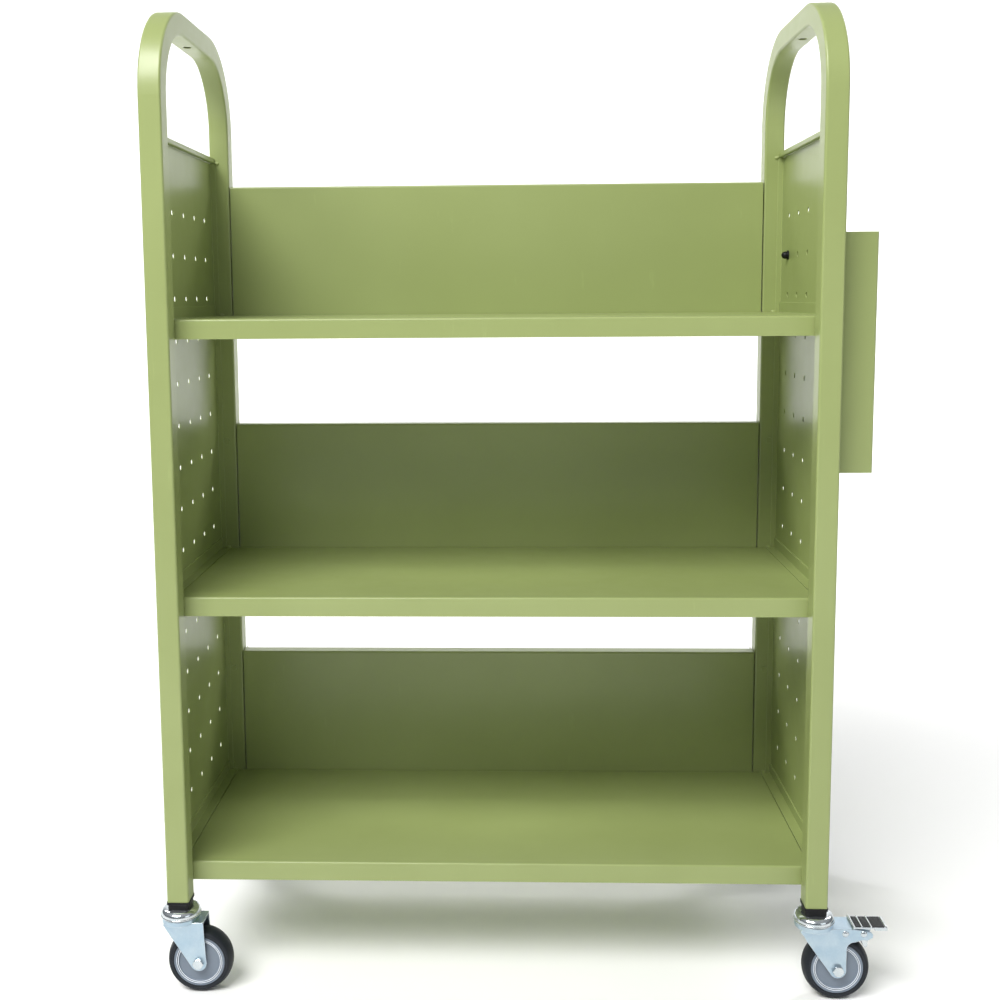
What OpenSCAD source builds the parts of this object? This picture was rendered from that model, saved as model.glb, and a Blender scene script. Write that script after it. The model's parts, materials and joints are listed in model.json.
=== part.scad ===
// Three-shelf book cart: two bent-tube side frames with perforated side panels,
// flat shelves with back stops, a file pocket on the right side and four swivel
// casters, two of them with brakes. Sizes are millimetres. +Z is up and the open
// front of the cart faces -Y. The origin is on the floor under the middle of the
// cart's overall box; "cart centre" below means the middle of the side frames.

/* [Side frames] */
// Width across the outer faces of the side frames
cart_w = 750; // [650:10:900]
// Depth of a side frame, front to back
cart_d = 330; // [290:10:420]
// Height of the top of the handles above the floor
cart_h = 1117.7; // [1105:0.1:1200]
// Outside size of the square frame tube
tube = 25; // [25:0.5:27]
// Wall of the frame tube
tube_wall = 1.2; // [1:0.1:1.5]
// Outside corner radius of the frame tube
tube_r = 2.5; // [2:0.1:4]
// Centreline radius of the handle bends
bend_r = 93; // [60:1:100]
// Height of the upper face of the rail that closes a side panel
top_rail_z = 979; // [955:0.1:990]

/* [Shelves and panels] */
// Height of the bottom shelf's surface
shelf_z = 146.7; // [145:0.1:150]
// Distance from one shelf's surface to the next
shelf_pitch = 313.5; // [305:0.5:320]
// Height of a shelf's turned-down edge
lip_h = 22; // [16:1:24]
// Thickness of the shelf, panel and pocket sheet
sheet = 1; // [0.8:0.1:1.2]
// Height of a back stop above its shelf
back_h = 168; // [150:1:185]
// Depth of a back stop's top flange
back_flange = 20; // [12:1:24]
// Diameter of the holes in the side panels
hole_d = 6.5; // [5:0.5:8]
// Distance between neighbouring panel holes
hole_pitch = 50; // [48:1:50]
// Height of the lowest row of panel holes
first_row_z = 196.2; // [190:0.1:200]

/* [Pocket] */
// Width of the pocket along the cart's side
pocket_w = 260; // [230:5:270]
// How far the pocket stands out from the side frame
pocket_t = 45; // [25:1:60]
// Height of the pocket
pocket_h = 264; // [200:1:300]
// Height of the pocket's floor
pocket_z = 599.7; // [570:0.1:620]

/* [Casters] */
// Height of the leg ends above the floor
leg_z = 109.5; // [109:0.5:112]
// Diameter of a wheel
wheel_d = 75; // [70:1:75]
// Width of a wheel's tyre
wheel_w = 22; // [20:1:22]
// Distance from a braked caster's swivel axis back to its wheel's axis
braked_trail = 25; // [24:0.5:26]
// Distance from a plain caster's swivel axis back to its wheel's axis
plain_trail = 22; // [20:0.5:23]

/* [Hidden] */
$fn = 64;

paint = "DarkKhaki";
zinc = "LightSteelBlue";
black = "DimGray";
tyre_grey = "DarkSlateGray";
core_grey = "LightSlateGray";

// Side frame
leg_x = cart_w / 2 - tube / 2;       // centre of a leg, from the cart centre
leg_y = cart_d / 2 - tube / 2;
side_in = cart_w / 2 - tube;         // inner face of a leg
gap_y = cart_d / 2 - tube;           // half the gap between front and rear legs
handle_z = cart_h - tube / 2;        // centreline of the handle's level top
bend_z = handle_z - bend_r;
bend_y = leg_y - bend_r;
drain_d = 10;                        // drain hole under each handle

// Side panel, set just inside the legs' outer faces
panel_out = cart_w / 2 - 0.3;
panel_in = panel_out - sheet;
panel_flange = 6.5;                  // clear of the screw heads on the rear legs
rail_w = 6.7;                        // width of the top rail
rail_h = 6.5;                        // height of its section
rail_r = 1.5;
panel_top = top_rail_z - rail_h;
panel_bottom = shelf_z - lip_h;
columns = 5;
rows = 15;

// Shelf rail: an upstand, a ledge level with the shelf and a turned-down flange
upstand = 13;
ledge = 13;
rail_t = 1.5;
rail_drop = 20;
rail_y = gap_y - sheet - 0.5;        // half its length, between the panel's flanges

// Shelf
shelf_gap = 1.2;                     // joint between a ledge and its shelf
shelf_x = panel_in - ledge - shelf_gap;
shelf_front = gap_y - 1.8;
shelf_rear = gap_y - 1.4;
shelf_r = 2.2;                       // outside radius of the folded edges
hem = 9;                             // return under the front and rear lips
shelf_screw_y = 100;

// Back stop, level with the front of the rear legs
stop_front = gap_y - 1;
stop_x = side_in - 1.5;
stop_drop = 20;                      // how far it reaches below the shelf surface
ear_h = 28;
ear_x = leg_x + 8;
stop_screw_z = 144;                  // screw height above the shelf
screw_d = 5;

// Pocket
pocket_x = cart_w / 2;
pocket_bolt_y = 2 * hole_pitch;
pocket_bolt_z = first_row_z + 13 * hole_pitch;
pocket_hem = 10;                     // inward fold round the mouth
pocket_r = 3;                        // upright corners
pocket_bolt_len = 9;                 // from the head

// Caster, measured from its swivel axis at the floor
wheel_r = wheel_d / 2;
crown_r = 20;                        // tread crown, seen in section
core_r = 29.7;
fork_in = wheel_w / 2 + 1.2;         // inner face of a fork side
fork_t = 2;
fork_out = fork_in + fork_t;
fork_z = 86.3;                       // top of the fork's bridge
bridge_t = 2;
bridge_start = -12;                  // front end of the bridge, ahead of the axis
plain_bridge_end = 28.6;             // how far back a plain fork's bridge reaches
braked_bridge_end = 43;
tip_r = 9.3;                         // round end of a fork side
plug_z = leg_z - 9.2;                // underside of the leg plug
cap_r = 22.8;                        // swivel cap
cap_rim_r = cap_r + 0.2;             // bead round the cap's edge
cap_t = 1.8;
cap_top_r = 13;
cap_edge_z = 92;
race_r = 21.3;                       // lower race on the fork
upper_race_r = 19.6;                 // race inside the cap
race_z = fork_z + 2.5;
ball_r = 2;
ball_ring_r = 16;
balls = 14;
pin_r = 5;                           // kingpin under the stem
stem_r = 5.5;
fit = 0.05;                          // radial clearance of a running fit
through = 60;                        // length of a cut that passes through a caster's part
bolt_r = 4;
sleeve_r = 5;
hub_r = 9;
bolt_flats = 11.5;                   // across the flats of the bolt's head and nut
rivet_a = [32.6, 81];                // brake rivets, from the swivel axis
rivet_b = [53, 81];
rivet_r = 2.2;
arm_end = 63.2;
pedal_start = 41;
pedal_end = 79.5;
pedal_w = 26;
pedal_z = 88.1;                      // top of the pedal's plate
pedal_t = 1.6;
pedal_in = fork_in - 0.7;            // outer face of a pedal ear

// Middle of the overall box, from the cart centre: the left edge is a swivel cap
// and the right edge is a brake pedal's tip.
box_mid_x = (pedal_end - cap_rim_r) / 2;

module placed() {
    translate([-box_mid_x, 0, 0]) children();
}

// A square with rounded corners, centred on the origin
module rounded_rect(size_x, size_y, r) {
    square([size_x, size_y - 2 * r], center = true);
    square([size_x - 2 * r, size_y], center = true);
    for (sx = [-1, 1], sy = [-1, 1])
        translate([sx * (size_x / 2 - r), sy * (size_y / 2 - r)]) circle(r);
}

// Turns a drawing in X and Y into one in Y and Z that is extruded along X
module along_x(from, to) {
    translate([from, 0, 0]) rotate([90, 0, 90]) linear_extrude(to - from) children();
}

// Turns a drawing in X and Y into one in X and Z that is extruded along Y
module along_y(from, to) {
    translate([0, to, 0]) rotate([90, 0, 0]) linear_extrude(to - from) children();
}

// A box between two corners
module block(low, high) {
    translate(low) cube(high - low);
}

function shelf_top(i) = shelf_z + i * shelf_pitch;

// Where the hole for a back stop's screw starts: only the top one is blind
function stop_hole_start(i) = i < 2 ? gap_y - 1 : cart_d / 2 - tube_wall - 3;

// ---- Side frames ----

module frame_section() {
    difference() {
        rounded_rect(tube, tube, tube_r);
        rounded_rect(tube - 2 * tube_wall, tube - 2 * tube_wall, tube_r - tube_wall);
    }
}

// One rear leg, half of the handle and the bend between them
module half_side_frame() {
    translate([0, leg_y, leg_z]) linear_extrude(bend_z - leg_z) frame_section();
    translate([0, bend_y, bend_z]) rotate([90, 0, 90])
        rotate_extrude(angle = 90) translate([bend_r, 0]) frame_section();
    translate([0, 0, handle_z]) rotate([-90, 0, 0]) linear_extrude(bend_y) frame_section();
}

module side_frame() {
    difference() {
        translate([leg_x, 0, 0]) {
            half_side_frame();
            mirror([0, 1, 0]) half_side_frame();
        }
        translate([leg_x, 0, handle_z - tube]) cylinder(h = tube, d = drain_d);
        for (i = [0 : 2])
            translate([leg_x, stop_hole_start(i), shelf_top(i) + stop_screw_z])
                rotate([-90, 0, 0]) cylinder(h = tube + 2, d = screw_d + 0.4);
    }
}

module left_side_frame() { placed() color(paint) mirror([1, 0, 0]) side_frame(); }
module right_side_frame() { placed() color(paint) side_frame(); }

// ---- Side panels ----

module side_panel() {
    difference() {
        union() {
            block([panel_in, -gap_y, panel_bottom], [panel_out, gap_y, panel_top]);
            for (s = [-1, 1])
                block([panel_in - panel_flange, min(s * gap_y, s * (gap_y - sheet)), panel_bottom],
                    [panel_out, max(s * gap_y, s * (gap_y - sheet)), panel_top]);
        }
        for (row = [0 : rows - 1], column = [0 : columns - 1])
            translate([panel_in - 1, (column - (columns - 1) / 2) * hole_pitch,
                first_row_z + row * hole_pitch])
                rotate([0, 90, 0]) cylinder(h = sheet + 2, d = hole_d);
    }
}

module left_side_panel() { placed() color(paint) mirror([1, 0, 0]) side_panel(); }
module right_side_panel() { placed() color(paint) side_panel(); }

// Slim tube that caps the panel between the legs
module top_rail() {
    translate([panel_out - rail_w / 2, 0, top_rail_z - rail_h / 2])
        along_y(-gap_y, gap_y) difference() {
            rounded_rect(rail_w, rail_h, rail_r);
            rounded_rect(rail_w - 2 * sheet, rail_h - 2 * sheet, rail_r - sheet);
        }
}

module left_top_rail() { placed() color(paint) mirror([1, 0, 0]) top_rail(); }
module right_top_rail() { placed() color(paint) top_rail(); }

// ---- Shelf rails ----

module shelf_rail(i) {
    z = shelf_top(i);
    difference() {
        union() {
            block([panel_in - rail_t, -rail_y, z - rail_t], [panel_in, rail_y, z + upstand]);
            block([panel_in - ledge, -rail_y, z - rail_t], [panel_in, rail_y, z]);
            block([panel_in - ledge, -rail_y, z - rail_drop], [panel_in - ledge + rail_t, rail_y, z]);
        }
        shelf_screw_holes(i);
    }
}

// Holes for the screws that hold a shelf to its rail on the right side
module shelf_screw_holes(i) {
    for (s = [-1, 1])
        translate([shelf_x - 4, s * shelf_screw_y, shelf_top(i) - lip_h / 2])
            rotate([0, 90, 0]) cylinder(h = 10, d = screw_d + 0.4);
}

module left_bottom_shelf_rail() { placed() color(paint) mirror([1, 0, 0]) shelf_rail(0); }
module left_middle_shelf_rail() { placed() color(paint) mirror([1, 0, 0]) shelf_rail(1); }
module left_top_shelf_rail() { placed() color(paint) mirror([1, 0, 0]) shelf_rail(2); }
module right_bottom_shelf_rail() { placed() color(paint) shelf_rail(0); }
module right_middle_shelf_rail() { placed() color(paint) shelf_rail(1); }
module right_top_shelf_rail() { placed() color(paint) shelf_rail(2); }

// ---- Shelves ----

// Section of a shelf, front to back: the plate, both lips and their hems
module shelf_section() {
    depth = shelf_front + shelf_rear;
    difference() {
        folded_outline(depth, lip_h, shelf_r);
        translate([0, -sheet])
            folded_outline(depth - 2 * sheet, lip_h - 2 * sheet, shelf_r - sheet);
        translate([-depth / 2 + hem, -lip_h - 1]) square([depth - 2 * hem, lip_h / 2]);
    }
}

// A rectangle hanging from the X axis with its upper corners rounded
module folded_outline(w, h, r) {
    translate([-w / 2, -h]) square([w, h - r]);
    translate([-w / 2 + r, -h]) square([w - 2 * r, h]);
    for (s = [-1, 1])
        translate([s * (w / 2 - r), -r]) circle(r);
}

module shelf(i) {
    translate([0, (shelf_rear - shelf_front) / 2, shelf_top(i)]) difference() {
        union() {
            along_x(-shelf_x, shelf_x) shelf_section();
            for (s = [-1, 1])
                block([min(s * shelf_x, s * (shelf_x - sheet)), -shelf_front + hem, -lip_h + 1],
                    [max(s * shelf_x, s * (shelf_x - sheet)), shelf_rear - hem, -sheet / 2]);
        }
        for (side = [0, 1])
            mirror([side, 0, 0])
                translate([0, (shelf_front - shelf_rear) / 2, -shelf_top(i)]) shelf_screw_holes(i);
    }
}

module bottom_shelf() { placed() color(paint) shelf(0); }
module middle_shelf() { placed() color(paint) shelf(1); }
module top_shelf() { placed() color(paint) shelf(2); }

// Pan-head screws that point outwards through a shelf's side and its rail
module shelf_screws() {
    placed() color(zinc)
        for (i = [0 : 2], side = [0, 1], s = [-1, 1])
            mirror([side, 0, 0])
                translate([shelf_x - sheet, s * shelf_screw_y, shelf_top(i) - lip_h / 2])
                    rotate([0, 90, 0]) {
                        translate([0, 0, -2.5]) cylinder(h = 2.5, r = 4.5);
                        cylinder(h = sheet + shelf_gap + rail_t + 4.5, r = screw_d / 2);
                        translate([0, 0, sheet + shelf_gap + rail_t]) cylinder(h = 3.5, r = 4.4, $fn = 6);
                    }
}

// ---- Back stops ----

module back_stop(i) {
    z = shelf_top(i);
    top = z + back_h;
    ear_front = cart_d / 2 + 0.2;
    difference() {
        union() {
            along_x(-stop_x, stop_x) translate([stop_front, 0]) stop_section(z - stop_drop, top);
            for (s = [-1, 1]) {
                block([min(s * stop_x, s * (stop_x - sheet)), stop_front + 0.5, z - stop_drop],
                    [max(s * stop_x, s * (stop_x - sheet)), ear_front + sheet, top - sheet / 2]);
                block([min(s * ear_x, s * (stop_x - sheet)), ear_front, z + stop_screw_z - ear_h / 2],
                    [max(s * ear_x, s * (stop_x - sheet)), ear_front + sheet,
                    z + stop_screw_z + ear_h / 2]);
            }
        }
        for (s = [-1, 1])
            translate([s * leg_x, cart_d / 2 - 1, z + stop_screw_z])
                rotate([-90, 0, 0]) cylinder(h = 5, d = screw_d + 0.4);
    }
}

// The upright sheet and its top flange with a short turned-down edge
module stop_section(low, high) {
    r = 2.2;
    return_h = 8;
    translate([0, low]) square([sheet, high - low - r]);
    translate([r, high - sheet]) square([back_flange - 2 * r, sheet]);
    translate([back_flange - sheet, high - return_h]) square([sheet, return_h - r]);
    for (corner = [[r, 0], [back_flange - r, 1]])
        translate([corner[0], high - r]) intersection() {
            difference() {
                circle(r);
                circle(r - sheet);
            }
            translate([corner[1] * r - r, 0]) square(r);
        }
}

module bottom_back_stop() { placed() color(paint) back_stop(0); }
module middle_back_stop() { placed() color(paint) back_stop(1); }
module top_back_stop() { placed() color(paint) back_stop(2); }

// Screws that hold the ears to the rear legs. The lower two pairs run back through
// the whole leg to a nut. The top pair is driven in from behind, one wall deep.
module back_stop_screws() {
    clamped = tube + 0.2 + sheet;
    placed() color(paint)
        for (i = [0 : 2], s = [-1, 1])
            translate([s * leg_x, gap_y, shelf_top(i) + stop_screw_z]) rotate([-90, 0, 0])
                if (i < 2) {
                    translate([0, 0, -1.8]) cylinder(h = 1.8, r = 4);
                    cylinder(h = clamped + 5, r = screw_d / 2);
                    translate([0, 0, clamped]) cylinder(h = 3.5, r = 4.4, $fn = 6);
                } else {
                    translate([0, 0, clamped]) cylinder(h = 2.5, r = 4.5);
                    translate([0, 0, clamped - 12]) cylinder(h = 13, r = screw_d / 2);
                }
}

// ---- Pocket ----

module side_pocket() {
    placed() color(paint) difference() {
        pocket_prism(0, pocket_z, pocket_z + pocket_h);
        pocket_prism(sheet, pocket_z + sheet, pocket_z + pocket_h - pocket_hem);
        pocket_prism(2 * sheet + 0.2, pocket_z + pocket_h - pocket_hem - 1, pocket_z + pocket_h + 1);
        for (s = [-1, 1])
            translate([pocket_x - 1, s * pocket_bolt_y, pocket_bolt_z])
                rotate([0, 90, 0]) cylinder(h = 4, d = hole_d);
    }
}

// The pocket's outline moved in by some distance, between two heights
module pocket_prism(inset, low, high) {
    translate([pocket_x + pocket_t / 2, 0, low]) linear_extrude(high - low)
        rounded_rect(pocket_t - 2 * inset, pocket_w - 2 * inset, pocket_r - inset);
}

// Round-head bolts from inside the pocket through the panel's holes
module pocket_bolts() {
    placed() color(black)
        for (s = [-1, 1])
            translate([pocket_x + sheet, s * pocket_bolt_y, pocket_bolt_z]) rotate([0, -90, 0]) {
                translate([0, 0, -1.5]) cylinder(h = 1.5, r = 5.5);
                cylinder(h = pocket_bolt_len, r = 2.5);
            }
}

// Domed black nuts on the cart's side of the panel, bored a little deeper than the bolt
module pocket_nuts() {
    socket = pocket_bolt_len - (pocket_x + sheet - panel_in) + 0.4;
    placed() color(black)
        for (s = [-1, 1])
            translate([panel_in, s * pocket_bolt_y, pocket_bolt_z]) rotate([0, -90, 0])
                difference() {
                    union() {
                        cylinder(h = 1.2, r = 6);
                        cylinder(h = 4, r = 4.6);
                        translate([0, 0, 4]) intersection() {
                            sphere(4.6);
                            cylinder(h = 5, r = 4.6);
                        }
                    }
                    translate([0, 0, -1]) cylinder(h = socket + 1, r = 2.5 + fit);
                }
}

// ---- Casters ----

function trail(side) = side > 0 ? braked_trail : plain_trail;

// Puts a caster's part on the swivel axis under the leg of one corner
module corner(side, end) {
    placed() translate([side * leg_x, end * leg_y, 0]) children();
}

// Puts a part on the wheel axis of one corner, drawn along Z
module axle(side, end) {
    corner(side, end) translate([trail(side), 0, wheel_r]) rotate([-90, 0, 0]) children();
}

// Plug with a flange, pressed into the leg's end and bored for the stem
module leg_plug() {
    body = tube - 2 * tube_wall - 0.4;
    flange = tube + 1.4;
    color(black) difference() {
        union() {
            translate([0, 0, leg_z]) linear_extrude(34) rounded_rect(body, body, 1.2);
            translate([0, 0, leg_z - 3]) linear_extrude(3) rounded_rect(flange, flange, 3);
            translate([0, 0, plug_z]) linear_extrude(leg_z - 3 - plug_z)
                rounded_rect(tube - 0.6, tube - 0.6, 4);
        }
        translate([0, 0, plug_z - 1]) cylinder(h = through, r = stem_r + fit);
    }
}

module front_left_leg_plug() { corner(-1, -1) leg_plug(); }
module front_right_leg_plug() { corner(1, -1) leg_plug(); }
module rear_left_leg_plug() { corner(-1, 1) leg_plug(); }
module rear_right_leg_plug() { corner(1, 1) leg_plug(); }

// Stem, domed swivel cap and kingpin with its riveted head
module caster_stem() {
    skirt_z = race_z + 1.5;
    roof_z = race_z + 2 * ball_r + 0.1;
    color(zinc) union() {
        cylinder_between(plug_z - cap_t, leg_z + 28, stem_r);
        cylinder_between(fork_z - bridge_t - 2.7, plug_z - cap_t, pin_r);
        cylinder_between(fork_z - bridge_t - 2.7, fork_z - bridge_t - 0.3, pin_r + 3.5);
        rotate_extrude() {
            polygon([
                [0, plug_z - cap_t], [cap_top_r - 1, plug_z - cap_t],
                [cap_r - cap_t, cap_edge_z - 0.4], [cap_r - cap_t, skirt_z],
                [cap_r, skirt_z], [cap_r, cap_edge_z],
                [cap_top_r, plug_z], [0, plug_z]
            ]);
            translate([cap_rim_r - 0.9, cap_edge_z - 0.1]) circle(0.9);
        }
        rotate_extrude() polygon([
            [pin_r - 1, roof_z], [upper_race_r, roof_z], [upper_race_r, roof_z + 1.1],
            [cap_top_r - 2, plug_z - cap_t + 0.5], [pin_r - 1, plug_z - cap_t + 0.5]
        ]);
    }
}

module cylinder_between(low, high, r) {
    translate([0, 0, low]) cylinder(h = high - low, r = r);
}

module front_left_caster_stem() { corner(-1, -1) caster_stem(); }
module front_right_caster_stem() { corner(1, -1) caster_stem(); }
module rear_left_caster_stem() { corner(-1, 1) caster_stem(); }
module rear_right_caster_stem() { corner(1, 1) caster_stem(); }

module swivel_balls() {
    color("silver")
        for (i = [0 : balls - 1])
            rotate([0, 0, i * 360 / balls])
                translate([ball_ring_r, 0, race_z + ball_r + 0.05]) sphere(ball_r);
}

module front_left_swivel_balls() { corner(-1, -1) swivel_balls(); }
module front_right_swivel_balls() { corner(1, -1) swivel_balls(); }
module rear_left_swivel_balls() { corner(-1, 1) swivel_balls(); }
module rear_right_swivel_balls() { corner(1, 1) swivel_balls(); }

// The point where a line from p touches a circle, on the side given by sign
function tangent_point(p, centre, r, sign) =
    let (
        d = centre - p,
        away = norm(d),
        aim = atan2(d[1], d[0]) + sign * asin(r / away),
        reach = sqrt(away * away - r * r)
    )
    p + reach * [cos(aim), sin(aim)];

// Outline of one fork side, seen from the front
module fork_side(braked) {
    axle = [braked ? braked_trail : plain_trail, wheel_r];
    shoulder = [-9.7, 70.5];
    back_top = [braked ? axle[0] + tip_r : plain_bridge_end, fork_z];
    touch_r = tip_r - 0.15;    // so that the edges cross the round end, not graze it
    front_touch = tangent_point(shoulder, axle, touch_r, -1);
    back_touch = tangent_point(back_top, axle, touch_r, 1);
    polygon([
        [-17.2, fork_z - bridge_t], [-17.2, fork_z - 3.5], shoulder,
        front_touch, axle, back_touch, back_top, [bridge_start, fork_z]
    ]);
    translate(axle) circle(tip_r);
}

// Arm behind a braked fork's side, with a curved corner under it
module brake_arm() {
    fillet = 9;
    root = braked_trail + tip_r - 0.3;    // so that the corner crosses the side's edge
    low = 71.2;
    difference() {
        polygon([
            [root - 8, fork_z], [root - 8, low - fillet], [root, low - fillet],
            [root + fillet, low], [51, low + 2.6], [arm_end - 5.5, low + 2.6],
            [arm_end - 0.5, low + 5.5], [arm_end, fork_z - 6], [arm_end - 2, fork_z - 3.3],
            [braked_bridge_end, fork_z]
        ]);
        translate([root + fillet, low - fillet]) circle(fillet);
    }
}

module fork(braked) {
    color(zinc) difference() {
        union() {
            for (s = [-1, 1])
                along_y(min(s * fork_in, s * fork_out), max(s * fork_in, s * fork_out)) {
                    fork_side(braked);
                    if (braked) brake_arm();
                }
            block([bridge_start, -fork_out, fork_z - bridge_t],
                [braked ? braked_bridge_end : plain_bridge_end, fork_out, fork_z]);
            rotate_extrude() race_section();
            fork_skirt();
        }
        cylinder_between(fork_z - 10, fork_z + 10, pin_r + fit);
        translate([braked ? braked_trail : plain_trail, 0, wheel_r]) rotate([90, 0, 0])
            cylinder(h = through, r = bolt_r + fit, center = true);
        if (braked)
            for (p = [rivet_a, rivet_b])
                translate([p[0], 0, p[1]]) rotate([90, 0, 0])
                    cylinder(h = through, r = rivet_r + fit, center = true);
    }
}

// The fork's round crown with the lower race: a flat track between two low rims
module race_section() {
    rim = 1;
    track = [pin_r + 3, race_r - 1.2];
    polygon([
        [0, fork_z - bridge_t], [race_r, fork_z - bridge_t], [race_r, race_z + rim],
        [track[1], race_z + rim], [track[1], race_z], [track[0], race_z],
        [track[0], race_z + rim], [0, race_z + rim]
    ]);
}

// Curved and tapering front of the fork between its two sides
module fork_skirt() {
    reach = 75;
    top = fork_z - bridge_t / 2;
    low = fork_z - 12;
    intersection() {
        rotate([0, 0, 180 - reach]) rotate_extrude(angle = 2 * reach)
            polygon([[15.4, top], [12.2, low], [14.2, low], [17.4, top]]);
        block([-20, -fork_in - 1, low - 1], [20, fork_in + 1, top + 1]);
    }
}

module front_left_fork() { corner(-1, -1) fork(false); }
module front_right_fork() { corner(1, -1) fork(true); }
module rear_left_fork() { corner(-1, 1) fork(false); }
module rear_right_fork() { corner(1, 1) fork(true); }

// Hex bolt across the fork with its nut at the back
module axle_bolt() {
    head = 4;
    across = bolt_flats / cos(30);
    color(zinc) {
        translate([0, 0, -fork_out - head]) cylinder(h = head, d = across, $fn = 6);
        translate([0, 0, -fork_out]) cylinder(h = 2 * fork_out + 6.6, r = bolt_r);
        translate([0, 0, fork_out]) cylinder(h = 5.5, d = across, $fn = 6);
    }
}

module front_left_axle_bolt() { axle(-1, -1) axle_bolt(); }
module front_right_axle_bolt() { axle(1, -1) axle_bolt(); }
module rear_left_axle_bolt() { axle(-1, 1) axle_bolt(); }
module rear_right_axle_bolt() { axle(1, 1) axle_bolt(); }

// Spacer tube that the fork clamps and the wheel turns on
module axle_sleeve() {
    color(zinc) difference() {
        cylinder(h = 2 * fork_in, r = sleeve_r, center = true);
        cylinder(h = 2 * fork_in + 2, r = bolt_r + fit, center = true);
    }
}

module front_left_axle_sleeve() { axle(-1, -1) axle_sleeve(); }
module front_right_axle_sleeve() { axle(1, -1) axle_sleeve(); }
module rear_left_axle_sleeve() { axle(-1, 1) axle_sleeve(); }
module rear_right_axle_sleeve() { axle(1, 1) axle_sleeve(); }

// Wheel centre: hub, web, a raised ring and the rim that carries the tyre
module wheel_core() {
    half = wheel_w / 2;
    bore = sleeve_r + fit;
    color(core_grey) rotate_extrude() {
        translate([bore, -half - 0.8]) square([hub_r - bore, 2 * half + 1.6]);
        translate([bore, -half + 2.5]) square([core_r - bore, 2 * half - 5]);
        translate([core_r - 3.5, -half + 0.6]) square([3.5, 2 * half - 1.2]);
        translate([core_r - 5.5, -half + 1.4]) square([1, 2 * half - 2.8]);
    }
}

module front_left_wheel_core() { axle(-1, -1) wheel_core(); }
module front_right_wheel_core() { axle(1, -1) wheel_core(); }
module rear_left_wheel_core() { axle(-1, 1) wheel_core(); }
module rear_right_wheel_core() { axle(1, 1) wheel_core(); }

module tyre() {
    color(tyre_grey) rotate_extrude() intersection() {
        translate([core_r, -wheel_w / 2]) square([wheel_r - core_r, wheel_w]);
        translate([wheel_r - crown_r, 0]) circle(crown_r);
    }
}

module front_left_tyre() { axle(-1, -1) tyre(); }
module front_right_tyre() { axle(1, -1) tyre(); }
module rear_left_tyre() { axle(-1, 1) tyre(); }
module rear_right_tyre() { axle(1, 1) tyre(); }

// ---- Brakes ----

// Foot pedal: a ribbed plate, two ears on the pivot rivet and a shoe over the tyre
module brake_pedal() {
    under = pedal_z - pedal_t;
    ear_t = 1.6;
    shoe = [55.4, 66.9];
    shoe_r = 2.5;
    rim_start = arm_end + 2;
    rim_z = under - 1.8;
    half = pedal_w / 2;
    color(zinc) difference() {
        union() {
            block([pedal_start, -half, under], [pedal_end, half, pedal_z]);
            block([pedal_end - pedal_t, -half, rim_z], [pedal_end, half, pedal_z]);
            for (s = [-1, 1])
                block([rim_start, min(s * half, s * (half - pedal_t)), rim_z],
                    [pedal_end, max(s * half, s * (half - pedal_t)), pedal_z]);
            pedal_rib(pedal_start + 1.4, 1.4, pedal_w + 2);
            for (x = [51, 61.5])
                pedal_rib(x, 1.1, pedal_w - 1);
            pedal_rib(pedal_end - 1.6, 1.1, pedal_w - 3);
            for (s = [-1, 1])
                along_y(min(s * pedal_in, s * (pedal_in - ear_t)),
                    max(s * pedal_in, s * (pedal_in - ear_t))) {
                    polygon([
                        [rivet_b[0] - 8.5, pedal_z - 0.5], [rivet_b[0] - 4.5, rivet_b[1] - 4],
                        [shoe[0] - shoe_r + 0.1, shoe[1]], [shoe[0] + shoe_r - 0.1, shoe[1]],
                        [rivet_b[0] + 5.5, rivet_b[1] - 3], [rivet_b[0] + 8.5, pedal_z - 0.5]
                    ]);
                    translate(shoe) circle(shoe_r);
                }
            translate([shoe[0], 0, shoe[1]]) rotate([90, 0, 0])
                cylinder(h = 2 * pedal_in, r = shoe_r, center = true);
        }
        translate([rivet_b[0], 0, rivet_b[1]]) rotate([90, 0, 0])
            cylinder(h = through, r = rivet_r + fit, center = true);
    }
}

// Round rib across the pedal
module pedal_rib(x, r, w) {
    translate([x, 0, pedal_z]) rotate([90, 0, 0]) cylinder(h = w, r = r, center = true);
}

module front_right_brake_pedal() { corner(1, -1) brake_pedal(); }
module rear_right_brake_pedal() { corner(1, 1) brake_pedal(); }

// Two domed rivets across the fork: a spacer and the pedal's pivot
module brake_rivets() {
    head_r = 3.8;
    color(zinc)
        for (p = [rivet_a, rivet_b])
            translate([p[0], 0, p[1]]) rotate([90, 0, 0]) {
                cylinder(h = 2 * fork_out, r = rivet_r, center = true);
                for (s = [0, 1])
                    mirror([0, 0, s]) translate([0, 0, fork_out]) intersection() {
                        translate([0, 0, -head_r]) sphere(head_r * sqrt(2));
                        cylinder(h = head_r, r = head_r);
                    }
            }
}

module front_right_brake_rivets() { corner(1, -1) brake_rivets(); }
module rear_right_brake_rivets() { corner(1, 1) brake_rivets(); }

left_side_frame();
right_side_frame();
left_side_panel();
right_side_panel();
left_top_rail();
right_top_rail();
left_bottom_shelf_rail();
left_middle_shelf_rail();
left_top_shelf_rail();
right_bottom_shelf_rail();
right_middle_shelf_rail();
right_top_shelf_rail();
bottom_shelf();
middle_shelf();
top_shelf();
shelf_screws();
bottom_back_stop();
middle_back_stop();
top_back_stop();
back_stop_screws();
side_pocket();
pocket_bolts();
pocket_nuts();
front_left_leg_plug();
front_right_leg_plug();
rear_left_leg_plug();
rear_right_leg_plug();
front_left_caster_stem();
front_right_caster_stem();
rear_left_caster_stem();
rear_right_caster_stem();
front_left_swivel_balls();
front_right_swivel_balls();
rear_left_swivel_balls();
rear_right_swivel_balls();
front_left_fork();
front_right_fork();
rear_left_fork();
rear_right_fork();
front_left_axle_bolt();
front_right_axle_bolt();
rear_left_axle_bolt();
rear_right_axle_bolt();
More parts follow.
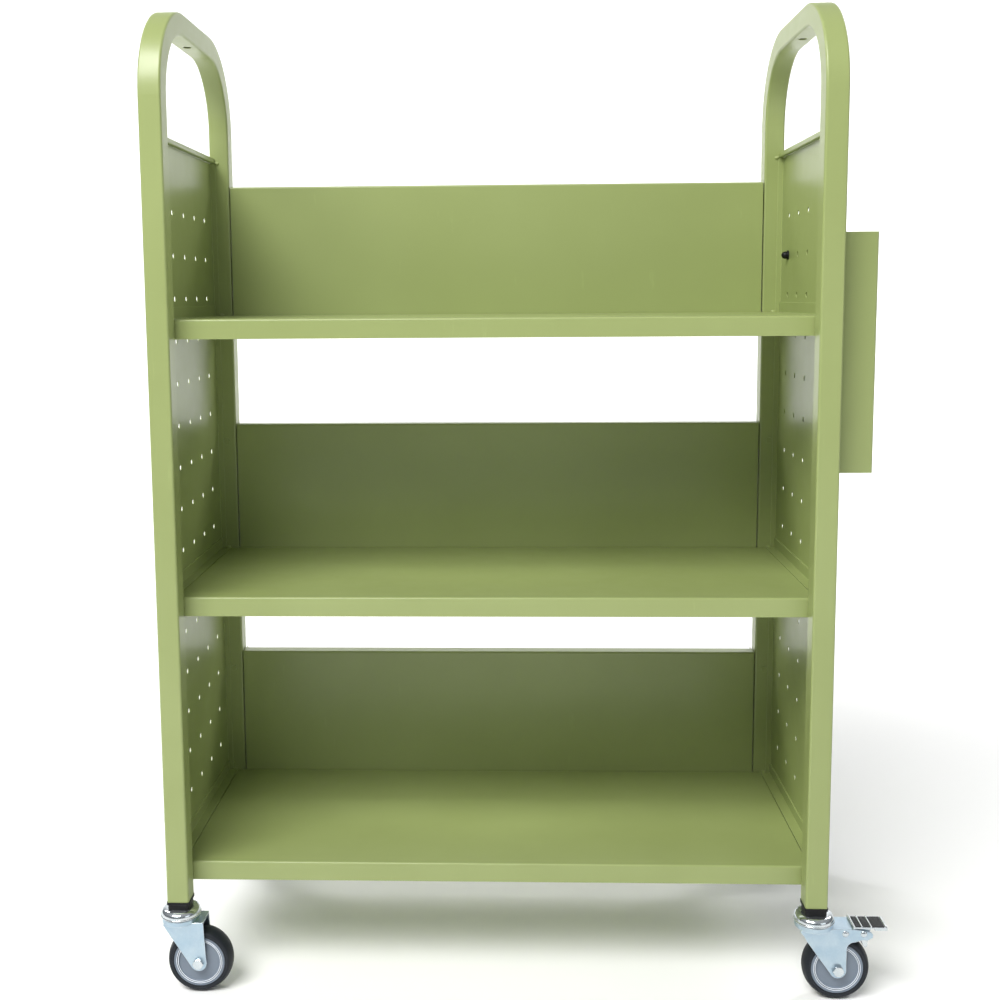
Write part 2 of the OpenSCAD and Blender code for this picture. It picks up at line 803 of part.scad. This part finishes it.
front_left_axle_sleeve();
front_right_axle_sleeve();
rear_left_axle_sleeve();
rear_right_axle_sleeve();
front_left_wheel_core();
front_right_wheel_core();
rear_left_wheel_core();
rear_right_wheel_core();
front_left_tyre();
front_right_tyre();
rear_left_tyre();
rear_right_tyre();
front_right_brake_pedal();
rear_right_brake_pedal();
front_right_brake_rivets();
rear_right_brake_rivets();
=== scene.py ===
import json
import math

import bmesh
import bpy
from mathutils import Matrix, Vector


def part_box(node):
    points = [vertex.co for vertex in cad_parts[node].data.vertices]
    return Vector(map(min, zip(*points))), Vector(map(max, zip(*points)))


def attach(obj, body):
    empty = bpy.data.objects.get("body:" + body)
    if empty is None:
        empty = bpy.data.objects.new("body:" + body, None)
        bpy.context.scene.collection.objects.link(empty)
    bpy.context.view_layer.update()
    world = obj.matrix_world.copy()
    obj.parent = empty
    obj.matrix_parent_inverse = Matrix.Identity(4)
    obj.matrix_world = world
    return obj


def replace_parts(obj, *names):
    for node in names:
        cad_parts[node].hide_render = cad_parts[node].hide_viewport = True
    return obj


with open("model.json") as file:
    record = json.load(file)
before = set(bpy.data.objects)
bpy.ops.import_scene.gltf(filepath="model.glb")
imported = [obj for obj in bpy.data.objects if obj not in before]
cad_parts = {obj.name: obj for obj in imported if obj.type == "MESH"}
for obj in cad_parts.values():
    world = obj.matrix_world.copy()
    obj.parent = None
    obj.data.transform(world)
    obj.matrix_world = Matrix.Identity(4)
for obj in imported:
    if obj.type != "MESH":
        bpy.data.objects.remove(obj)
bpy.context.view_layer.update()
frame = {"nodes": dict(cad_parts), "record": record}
NODES = frame["nodes"]
MM = 0.001
BRAKED = {"front_left": False, "front_right": True, "rear_left": False, "rear_right": True}

# ---------------------------------------------------------------- node helpers


class Graph:
    """A material's node tree, with short calls for the nodes that the looks use."""

    def __init__(self, name):
        self.material = bpy.data.materials.new(name)
        self.material.use_nodes = True
        self.tree = self.material.node_tree
        self.shader = self.tree.nodes["Principled BSDF"]
        self.place = self.node("ShaderNodeTexCoord").outputs["Object"]

    def node(self, kind, **sockets):
        made = self.tree.nodes.new(kind)
        for name, value in sockets.items():
            self.put(made.inputs[name.replace("_", " ")], value)
        return made

    def put(self, socket, value):
        if isinstance(value, bpy.types.NodeSocket):
            self.tree.links.new(value, socket)
        else:
            socket.default_value = value

    def set(self, **sockets):
        for name, value in sockets.items():
            self.put(self.shader.inputs[name.replace("_", " ")], value)

    def noise(self, scale, detail, roughness=0.5, stretch=None):
        where = self.place
        if stretch:
            mapping = self.node("ShaderNodeMapping", Vector=where)
            mapping.inputs["Scale"].default_value = stretch
            where = mapping.outputs["Vector"]
        made = self.node("ShaderNodeTexNoise", Vector=where, Scale=scale, Detail=detail,
                         Roughness=roughness)
        return made.outputs["Fac"]

    def ramp(self, value, *stops):
        """stops are (position, grey or colour)."""
        made = self.node("ShaderNodeValToRGB", Fac=value)
        ends = made.color_ramp.elements
        while len(ends) < len(stops):
            ends.new(0.5)
        for end, (position, colour) in zip(ends, stops):
            end.position = position
            end.color = (*colour, 1) if isinstance(colour, tuple) else (colour, colour, colour, 1)
        return made.outputs["Color"]

    def math(self, operation, a, b):
        made = self.tree.nodes.new("ShaderNodeMath")
        made.operation = operation
        self.put(made.inputs[0], a)
        self.put(made.inputs[1], b)
        return made.outputs[0]

    def mix(self, factor, a, b):
        made = self.tree.nodes.new("ShaderNodeMix")
        made.data_type = "RGBA"
        self.put(made.inputs[0], factor)
        self.put(made.inputs[6], (*a, 1) if isinstance(a, tuple) else a)
        self.put(made.inputs[7], (*b, 1) if isinstance(b, tuple) else b)
        return made.outputs[2]

    def span(self, value, low, high):
        """A 0 to 1 value moved to the range low to high."""
        made = self.node("ShaderNodeMapRange", Value=value)
        made.inputs["To Min"].default_value = low
        made.inputs["To Max"].default_value = high
        return made.outputs["Result"]

    def bump(self, height, distance, strength, normal):
        made = self.node("ShaderNodeBump", Height=height, Distance=distance, Strength=strength,
                         Normal=normal)
        return made.outputs["Normal"]

    def rounded(self, radius):
        """(normal, mask): the normal with the edges softened, and how near an edge a point is."""
        soft = self.tree.nodes.new("ShaderNodeBevel")
        soft.samples = 4
        soft.inputs["Radius"].default_value = radius
        flat = self.node("ShaderNodeNewGeometry").outputs["Normal"]
        dot = self.tree.nodes.new("ShaderNodeVectorMath")
        dot.operation = "DOT_PRODUCT"
        self.put(dot.inputs[0], soft.outputs["Normal"])
        self.put(dot.inputs[1], flat)
        near = self.math("SUBTRACT", 1.0, dot.outputs["Value"])
        return soft.outputs["Normal"], self.math("MULTIPLY", near, 6.0)


# ---------------------------------------------------------------- materials


def powder_coat(name, colour, deep, edge_radius=0.0007):
    """Satin powder coat: orange peel, slow colour drift, a painted highlight along the edges, a few pale
    scuffs.
    """
    g = Graph(name)
    soft, edge = g.rounded(edge_radius)
    drift = g.noise(5.0, 3.0)
    speck = g.noise(1400.0, 1.0)
    tone = g.mix(g.ramp(drift, (0.3, 0.0), (0.75, 1.0)), colour, deep)
    tone = g.mix(g.math("MULTIPLY", speck, 0.16), tone, tuple(c * 0.72 for c in colour))
    # painted highlight: the edges are painted much paler than the face; the scuffs below reuse this pale
    # colour as real wear
    pale = tuple(min(1.0, c * 1.7 + 0.05) for c in colour)
    tone = g.mix(g.math("MINIMUM", edge, 0.8), tone, pale)
    scuff = g.ramp(g.noise(90.0, 4.0, 0.65, (1.0, 1.0, 0.14)), (0.66, 0.0), (0.74, 1.0))
    tone = g.mix(g.math("MULTIPLY", scuff, 0.08), tone, pale)
    peel = g.noise(620.0, 2.0, 0.45)
    slow = g.noise(22.0, 2.0)
    normal = g.bump(peel, 0.00012, 0.30, g.bump(slow, 0.0012, 0.08, soft))
    rough = g.math("ADD", g.span(g.noise(40.0, 3.0), 0.34, 0.44), g.math("MULTIPLY", scuff, 0.08))
    g.set(Base_Color=tone, Roughness=rough, Normal=normal, IOR=1.5)
    g.set(Coat_Weight=0.22, Coat_Roughness=0.24)
    return g.material


def zinc_plate(name, colour, tint, rough, edge_radius=0.0005):
    """Blue-white zinc on pressed steel: cloudy plating, fine drawing marks, a painted near-white highlight
    along the edges.
    """
    g = Graph(name)
    soft, edge = g.rounded(edge_radius)
    cloud = g.noise(55.0, 4.0, 0.6)
    tone = g.mix(g.ramp(cloud, (0.35, 0.0), (0.7, 1.0)), colour, tint)
    spangle = g.noise(420.0, 2.0, 0.6)
    tone = g.mix(g.math("MULTIPLY", spangle, 0.25), tone, tuple(c * 0.55 for c in colour))
    # painted highlight: the edges are painted near-white
    tone = g.mix(g.math("MINIMUM", edge, 0.7), tone, (0.93, 0.94, 0.95))
    marks = g.noise(260.0, 3.0, 0.7, (1.0, 1.0, 0.08))
    normal = g.bump(marks, 0.00006, 0.30, g.bump(g.noise(120.0, 2.0), 0.0003, 0.16, soft))
    g.set(Base_Color=tone, Metallic=0.95, Roughness=g.span(g.noise(150.0, 3.0), *rough), Normal=normal)
    return g.material


def moulded(name, colour, dust, rough, grain=900.0, edge_radius=0.0006, dust_amount=0.25, edge_highlight_gain=1.9,
            shine=0.5):
    """Moulded plastic or rubber: fine grain, a little dust in broad patches, softened edges with a painted
    paler highlight.
    """
    g = Graph(name)
    soft, edge = g.rounded(edge_radius)
    patch = g.ramp(g.noise(38.0, 4.0, 0.6), (0.42, 0.0), (0.8, 1.0))
    tone = g.mix(g.math("MULTIPLY", patch, dust_amount), colour, dust)
    # painted highlight: the edges are painted paler than the face
    pale = tuple(min(1.0, c * edge_highlight_gain + 0.02) for c in colour)
    tone = g.mix(g.math("MINIMUM", edge, 0.6), tone, pale)
    normal = g.bump(g.noise(grain, 3.0, 0.6), 0.00015, 0.4, soft)
    g.set(Base_Color=tone, Roughness=g.span(g.noise(70.0, 3.0), rough - 0.06, rough + 0.08))
    g.set(Normal=normal, Specular_IOR_Level=shine)
    return g.material


GREEN = powder_coat("green_powder_coat", (0.306, 0.362, 0.135), (0.273, 0.326, 0.112))
SATIN_ZINC = zinc_plate("satin_zinc", (0.43, 0.56, 0.67), (0.54, 0.65, 0.73), (0.26, 0.38), 0.0009)
BRIGHT_ZINC = zinc_plate("bright_zinc", (0.60, 0.66, 0.70), (0.74, 0.77, 0.79), (0.10, 0.20))
BALL = zinc_plate("greased_ball_steel", (0.70, 0.70, 0.72), (0.52, 0.48, 0.42), (0.08, 0.2), 0.0002)
BLACK = moulded("black_nylon", (0.005, 0.005, 0.006), (0.04, 0.04, 0.038), 0.45,
                dust_amount=0.08, shine=0.25)
TYRE = moulded("charcoal_tread", (0.008, 0.011, 0.016), (0.045, 0.047, 0.050), 0.52, 700.0, 0.0012,
               dust_amount=0.20, shine=0.3)
CORE = moulded("wheel_centre_grey", (0.165, 0.200, 0.250), (0.25, 0.29, 0.33), 0.34, 600.0,
               dust_amount=0.2, edge_highlight_gain=2.2)
# painted highlight: near-white colour for the fine rings that stand in for the light on the wheel's beads
RING_HIGHLIGHT = moulded("painted_ring_highlight", (0.78, 0.83, 0.90), (0.60, 0.64, 0.68), 0.25, 600.0, 0.0002,
               dust_amount=0.2, edge_highlight_gain=1.1)
PAD = moulded("pedal_rubber", (0.012, 0.013, 0.015), (0.09, 0.09, 0.088), 0.55, 500.0, 0.0004)

LOOK = {"green_paint": GREEN, "zinc": SATIN_ZINC, "steel_balls": BALL, "black_plastic": BLACK,
        "wheel_grey": CORE, "tyre": TYRE}
for part in frame["record"]["subparts"]:
    mesh = NODES[part["node"]].data
    mesh.materials.clear()
    bright = part["node"].endswith(("_pedal", "_rivets", "shelf_screws"))
    mesh.materials.append(BRIGHT_ZINC if bright else LOOK[part["material_slot"]])

# ---------------------------------------------------------------- mesh helpers


def add_piece(name, mesh, body, look, place=(0, 0, 0), smooth=35.0):
    """Links a finished mesh as a piece of the object that rides on a CAD body."""
    for face in mesh.polygons:
        face.use_smooth = True
    mesh.set_sharp_from_angle(angle=math.radians(smooth))
    mesh.materials.append(look)
    piece = bpy.data.objects.new(name, mesh)
    bpy.context.scene.collection.objects.link(piece)
    piece.location = place
    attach(piece, body)
    return piece


def lathe(made, profile, segments=96, ripple=None):
    """Turns (radius, height) points in millimetres about Z. ripple(angle, k) scales point k's radius."""
    rings = []
    for k, (r, h) in enumerate(profile):
        count = segments if r > 1e-4 else 1
        ring = []
        for i in range(count):
            a = 2 * math.pi * i / segments
            s = r * (ripple(a, k) if ripple else 1.0)
            ring.append(made.verts.new((s * math.cos(a) * MM, s * math.sin(a) * MM, h * MM)))
        rings.append(ring)
    for a, b in zip(rings, rings[1:]):
        for i in range(segments):
            j = (i + 1) % segments
            corners = (a[i % len(a)], a[j % len(a)], b[j % len(b)], b[i % len(b)])
            unique = list(dict.fromkeys(corners))
            if len(unique) > 2:
                made.faces.new(unique)


def finish_mesh(name, made, turn=None):
    """Welds, turns and closes a bmesh into a mesh. turn is (degrees, axis)."""
    bmesh.ops.remove_doubles(made, verts=made.verts, dist=1e-7)
    if turn:
        degrees, axis = turn
        bmesh.ops.rotate(made, verts=made.verts, matrix=Matrix.Rotation(math.radians(degrees), 3, axis))
    bmesh.ops.recalc_face_normals(made, faces=made.faces)
    mesh = bpy.data.meshes.new(name)
    made.to_mesh(mesh)
    made.free()
    return mesh


def lathe_mesh(name, profile, turn=None, segments=96, ripple=None):
    made = bmesh.new()
    lathe(made, profile, segments, ripple)
    return finish_mesh(name, made, turn)


def arc(cx, cy, r, start, end, steps):
    """Points on an arc, with angles in degrees."""
    angles = [math.radians(start + (end - start) * i / steps) for i in range(steps + 1)]
    return [(cx + r * math.cos(a), cy + r * math.sin(a)) for a in angles]


def mirrored(side):
    """A closed section from the points of its upper half."""
    return side + [(r, -h) for r, h in reversed(side)] + side[:1]


def middle(node):
    low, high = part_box(node)
    return (Vector(low) + Vector(high)) / 2


def size_mm(node):
    low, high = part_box(node)
    return (Vector(high) - Vector(low)) / MM


# ---------------------------------------------------------------- wheels


def tyre(corner):
    """Rubber tread with a crowned face, rounded shoulders, a mould seam and a groove in each side."""
    node = corner + "_tyre"
    size = size_mm(node)
    r, half = size.z / 2, size.y / 2
    inner = size_mm(corner + "_wheel_core").z / 2
    crown = 20.0           # radius of the tread's face across the wheel
    groove = half - 0.35   # bottom of the groove round each side
    side = [(inner, half - 0.3), (inner + 0.3, half), (inner + 1.4, half), (inner + 1.7, groove),
            (inner + 2.1, groove), (inner + 2.4, half), (r - 4.2, half - 0.05), (r - 3.5, groove)]
    tread = [p for p in arc(r - crown, 0, crown, 30, 2, 14)]
    seam = [(r - 0.02, 0.35), (r, 0.2)]
    mesh = lathe_mesh(node + "_mesh", mirrored(side + tread + seam), (90, "X"), 128)
    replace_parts(add_piece(corner + "_tread", mesh, corner + "_wheel", TYRE, middle(node)), node)


def wheel_centre(corner):
    """Moulded centre: hub, dished web, a bead, a deep groove and a rim with two beads.

    The bead by the groove and the rim's inner bead each carry a fine ring, painted bright as a highlight
    on the bead.
    """
    node = corner + "_wheel_core"
    size = size_mm(node)
    r = size.z / 2
    hub = size.y / 2
    face = hub - 3.3       # the web's face, measured across the wheel
    rim = hub - 1.4
    groove = face - 3.5
    bore = 5.05
    web_ring, rim_ring = r - 5.2, r - 3.5
    side = [(bore, hub - 0.2), (bore + 0.2, hub), (8.6, hub), (9.0, hub - 0.4), (9.3, face + 0.5),
            (10.0, face + 0.1), (r - 6.9, face - 0.2), (r - 6.2, face), (r - 5.8, face + 0.9)]
    side += arc(web_ring, face + 1.1, 0.5, 160, 20, 5)
    side += [(r - 4.65, groove), (r - 4.10, groove), (r - 4.05, rim - 0.7)]
    side += arc(rim_ring, rim - 0.5, 0.55, 160, 20, 5)
    side += [(r - 1.9, rim - 0.45)]
    side += arc(r - 0.9, rim - 0.5, 0.55, 140, 30, 4)
    side += [(r - 0.05, rim - 0.9)]
    mesh = lathe_mesh(node + "_mesh", mirrored(side), (90, "X"), 128)
    centre = add_piece(corner + "_wheel_centre", mesh, corner + "_wheel", CORE, middle(node))
    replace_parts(centre, node)
    # fine rings on two beads on each side, coloured as painted highlights
    made = bmesh.new()
    ring_r = 0.45
    for radius, height in ((web_ring, face + 1.5), (rim_ring, rim - 0.1)):
        for way in (1, -1):
            lathe(made, arc(radius, way * height, ring_r, 0, 360, 8), 128)
    rings = finish_mesh(node + "_rings_mesh", made, (90, "X"))
    add_piece(corner + "_wheel_highlight_rings", rings, corner + "_wheel", RING_HIGHLIGHT, middle(node))


def hex_scale(a):
    """Radius of a hexagon at an angle, with 1 at its corners."""
    return math.cos(math.pi / 6) / math.cos(a % (math.pi / 3) - math.pi / 6)


def axle_bolt(corner):
    """Hex bolt with chamfered head and nut, and a few turns of thread past the nut."""
    node = corner + "_axle_bolt"
    low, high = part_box(node)
    wide = size_mm(node).x / 2
    flat = wide * 0.845    # chamfer circle, just inside the flats
    leg = 2.0              # thickness of the fork's leg
    shank = 4.0
    out = size_mm(corner + "_axle_sleeve").y / 2 + leg
    here = middle(node)
    here.y = middle(corner + "_tyre").y
    front = (low[1] - here.y) / MM
    back = (high[1] - here.y) / MM
    nut = out + 5.5        # outer face of the nut
    plain = [(0, front + 0.25), (flat * 0.55, front + 0.1), (flat, front)]
    head = [(wide, front + 0.75), (wide, -out - 0.25)]
    neck = [(flat * 1.05, -out), (shank, -out), (shank, out), (flat * 1.05, out)]
    nut_sides = [(wide, out + 0.4), (wide, nut - 0.75)]
    crown = [(flat, nut), (4.3, nut), (3.9, nut - 0.3)]
    turns = [(3.95 if i % 2 else 3.55, nut + (back - nut) * i / 6) for i in range(6)]
    tip = [(3.2, back), (0, back)]
    profile = plain + head + neck + nut_sides + crown + turns + tip
    nut_at = len(plain + head + neck)
    hexes = {len(plain), len(plain) + 1, nut_at, nut_at + 1}
    mesh = lathe_mesh(node + "_mesh", profile, (-90, "X"), 96,
                      lambda a, k: hex_scale(a) if k in hexes else 1.0)
    bolt = add_piece(corner + "_hex_bolt", mesh, corner + "_caster", BRIGHT_ZINC, here, 25.0)
    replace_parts(bolt, node)


# ---------------------------------------------------------------- casters


def swivel_cap(corner):
    """Pressed dome with a rolled bead, its stem up into the leg plug and the riveted kingpin under it."""
    node = corner + "_caster_stem"
    low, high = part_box(node)
    rim = size_mm(node).x / 2
    foot, top = low[2] / MM, high[2] / MM
    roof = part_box(corner + "_leg_plug")[0][2] / MM
    edge = roof - 8.3      # height at which the dome meets its rolled bead
    stem, pin, shoulder = 5.5, 5.0, 15.0
    run, fall = rim - 0.7 - shoulder, roof - 0.9 - edge
    profile = [(0, top), (stem - 0.6, top), (stem, top - 0.6), (stem, roof), (shoulder - 2.0, roof)]
    for i in range(13):
        a = math.pi / 2 * i / 12
        profile.append((shoulder + run * math.sin(a), edge + 0.7 + fall * math.cos(a) ** 0.8))
    profile += arc(rim - 0.9, edge - 0.1, 0.9, 40, -90, 8)
    rivet, rivet_h = 8.5, 2.4
    profile += [(rim - 2.0, edge - 0.9), (rim - 2.0, edge + 0.9), (pin, edge + 0.9), (pin, foot + rivet_h)]
    profile += [(rivet, foot + rivet_h), (rivet, foot + 1.0), (rivet - 1.1, foot), (0, foot)]
    here = middle(node)
    here.z = 0
    mesh = lathe_mesh(node + "_mesh", profile, None, 128)
    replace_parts(add_piece(corner + "_swivel_cap", mesh, "cart", BRIGHT_ZINC, here, 40.0), node)


def pedal_pads(corner):
    """Rubber strips between the ribs of a brake pedal, each with a row of small cleats."""
    low, high = (Vector(c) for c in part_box(corner + "_brake_pedal"))
    base = Vector((low.x, middle(corner + "_brake_pedal").y, high.z - 1.5 * MM))
    half, thick, proud = 11.4, 0.75, 1.05      # half the pad's width, its thickness and its cleats' tops
    row_pitch, pitch, across = 3.2, 3.7, 6
    made = bmesh.new()
    for start, end in ((3.1, 8.7), (11.4, 19.2), (21.9, 35.3)):
        parts = [((start, -half, 0.0), (end, half, thick))]
        rows = max(1, round((end - start) / row_pitch))
        step = (end - start) / rows
        for i in range(rows):
            for j in range(across):
                x = start + step * (i + 0.5)
                y = (j - (across - 1) / 2) * pitch
                parts.append(((x - 0.9, y - 1.2, thick - 0.15), (x + 0.9, y + 1.2, proud)))
        for a, b in parts:
            a, b = (base + Vector(c) * MM for c in (a, b))
            cube = bmesh.ops.create_cube(made, size=1.0)["verts"]
            bmesh.ops.scale(made, vec=b - a, verts=cube)
            bmesh.ops.translate(made, vec=(a + b) / 2, verts=cube)
    bmesh.ops.bevel(made, geom=made.edges[:], offset=0.22 * MM, segments=2, affect="EDGES", profile=0.5)
    mesh = finish_mesh(corner + "_pedal_pads_mesh", made)
    add_piece(corner + "_pedal_pads", mesh, corner + "_pedal", PAD)


for corner, braked in BRAKED.items():
    tyre(corner)
    wheel_centre(corner)
    axle_bolt(corner)
    swivel_cap(corner)
    if braked:
        pedal_pads(corner)

# ---------------------------------------------------------------- welds


def weld_bead(name, start, end, r, seed):
    """A short run of weld under the paint: overlapping ripples that taper at both ends."""
    start, end = Vector(start), Vector(end)
    length = (end - start).length / MM
    steps, pitch = 26, 2.2
    profile = [(0, 0)]
    for i in range(1, steps):
        t = i / steps
        swell = min(1.0, 4.0 * t, 4.0 * (1.0 - t)) ** 0.5
        ripple = 1.0 + 0.10 * abs(math.sin(math.pi * t * length / pitch + seed))
        profile.append((r * swell * ripple, length * t))
    profile.append((0, length))
    mesh = lathe_mesh(name + "_mesh", profile, None, 20)
    turn = Vector((0, 0, 1)).rotation_difference(end - start).to_matrix().to_4x4()
    mesh.transform(Matrix.Translation(start) @ turn)
    add_piece(name, mesh, "cart", GREEN, smooth=60.0)


for side in ("left", "right"):
    low, high = (Vector(c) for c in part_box(side + "_top_rail"))
    inner, out = (high.x, -1) if side == "left" else (low.x, 1)
    for end, y in (("front", low.y), ("rear", high.y)):
        weld_bead(f"{side}_top_rail_{end}_weld", (inner - out * 5.8 * MM, y, high.z - 6.8 * MM),
                  (inner + out * 1.2 * MM, y, high.z - 6.2 * MM), 2.0, low.x * 40)
    for tier in ("bottom", "middle", "top"):
        low, high = (Vector(c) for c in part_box(f"{side}_{tier}_shelf_rail"))
        inner, outer = (high.x, low.x) if side == "left" else (low.x, high.x)
        ledge = low.z + 20 * MM
        for end, y in (("front", low.y), ("rear", high.y)):
            start = (outer + (inner - outer) * 0.4, y, ledge + 0.2 * MM)
            stop = (outer + (inner - outer) * 0.97, y, ledge + 0.8 * MM)
            weld_bead(f"{side}_{tier}_rail_{end}_weld", start, stop, 1.9, low.z * 30)

# ---------------------------------------------------------------- stage, light and camera


def area_light(name, place, aim, size, power, colour=(1, 1, 1)):
    data = bpy.data.lights.new(name, "AREA")
    data.shape = "RECTANGLE"
    data.size, data.size_y = size
    data.energy = power
    data.color = colour
    lamp = bpy.data.objects.new(name, data)
    lamp.location = place
    lamp.rotation_mode = "QUATERNION"
    lamp.rotation_quaternion = (Vector(aim) - Vector(place)).to_track_quat("-Z", "Y")
    bpy.context.scene.collection.objects.link(lamp)


def floor():
    """A wide pale floor that curves up far behind the cart."""
    half, back, rise, r, steps = 9.0, 7.0, 6.0, 2.5, 24
    line = [(-half, 0.0)] + arc(back - r, r, r, -90, 0, steps) + [(back, rise)]
    verts = [(x, y, z) for y, z in line for x in (-half, half)]
    faces = [(2 * i, 2 * i + 1, 2 * i + 3, 2 * i + 2) for i in range(len(line) - 1)]
    mesh = bpy.data.meshes.new("floor")
    mesh.from_pydata(verts, [], faces)
    for face in mesh.polygons:
        face.use_smooth = True
    sweep = bpy.data.objects.new("floor", mesh)
    bpy.context.scene.collection.objects.link(sweep)
    g = Graph("pale_floor")
    tone = g.mix(g.noise(0.8, 3.0), (0.92, 0.92, 0.915), (0.95, 0.95, 0.945))
    g.set(Base_Color=tone, Roughness=0.75)
    mesh.materials.append(g.material)


def sky():
    """Soft studio surround: bright overhead, dimmer and cooler towards the horizon and below."""
    world = bpy.data.worlds.new("studio")
    world.use_nodes = True
    tree = world.node_tree
    place = tree.nodes.new("ShaderNodeTexCoord")
    split = tree.nodes.new("ShaderNodeSeparateXYZ")
    ramp = tree.nodes.new("ShaderNodeValToRGB")
    tree.links.new(place.outputs["Generated"], split.inputs[0])
    tree.links.new(split.outputs["Z"], ramp.inputs["Fac"])
    ends = ramp.color_ramp.elements
    ends[0].position, ends[0].color = 0.0, (0.28, 0.29, 0.30, 1)
    ends[1].position, ends[1].color = 0.85, (1.0, 1.0, 1.0, 1)
    mid = ends.new(0.35)
    mid.color = (0.46, 0.50, 0.54, 1)
    tree.links.new(ramp.outputs["Color"], tree.nodes["Background"].inputs["Color"])
    tree.nodes["Background"].inputs["Strength"].default_value = 0.42
    bpy.context.scene.world = world


floor()
sky()
area_light("key", (-1.4, -2.4, 3.5), (-0.05, 0, 0.6), (2.6, 1.8), 200, (1.0, 0.998, 0.985))
area_light("fill", (2.4, -2.4, 1.3), (0, 0, 0.4), (1.6, 1.6), 10, (0.94, 0.98, 1.0))
area_light("back_left", (-3.2, 2.6, 3.4), (-0.8, 6.0, 1.0), (2.5, 2.0), 190)
area_light("back_right", (3.2, 2.6, 3.4), (0.8, 6.0, 1.0), (2.5, 2.0), 190)
bpy.context.scene.view_settings.view_transform = "Standard"

camera = bpy.data.cameras.new("camera")
camera.sensor_width = 36.0
camera.lens = 43.53
camera.shift_x = 0.0274
camera.shift_y = -0.0664
camera.clip_start, camera.clip_end = 0.05, 60
eye = bpy.data.objects.new("camera", camera)
bpy.context.scene.collection.objects.link(eye)
yaw, pitch, roll = (math.radians(a) for a in (-1.908, 6.481, -0.4))
ahead = Vector((math.sin(yaw) * math.cos(pitch), math.cos(yaw) * math.cos(pitch), -math.sin(pitch)))
right = ahead.cross(Vector((0, 0, 1))).normalized()
up = right.cross(ahead)
level = Matrix((right, up, -ahead)).transposed() @ Matrix.Rotation(roll, 3, "Z")
eye_at = (-0.00595, -1.4676, 0.7970)
eye.matrix_world = Matrix.Translation(eye_at) @ level.to_4x4()
bpy.context.scene.camera = eye
